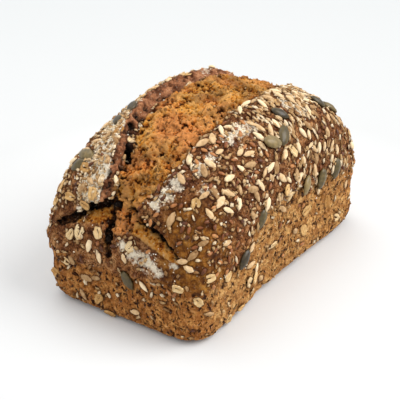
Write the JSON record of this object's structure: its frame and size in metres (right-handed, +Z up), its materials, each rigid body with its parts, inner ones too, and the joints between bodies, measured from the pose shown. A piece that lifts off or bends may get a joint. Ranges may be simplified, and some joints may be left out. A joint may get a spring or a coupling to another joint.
{
  "type": "tin loaf",
  "caption": "Seeded rye loaf baked in a tin, with straight flared walls, a domed crust and a torn split along the top that shows the crumb.",
  "frame": {"origin": "middle of the base, on the surface the loaf rests on", "axes": "+X along the loaf, away from the end with the three cracks; +Y across it, towards the raised lip of the split; +Z up"},
  "size_m": [0.1818, 0.1174, 0.1094],
  "materials": {
    "rye_crust": "baked rye crust and crumb"
  },
  "bodies": {
    "root": {"loaf": "rye_crust"}
  },
  "joints": []
}
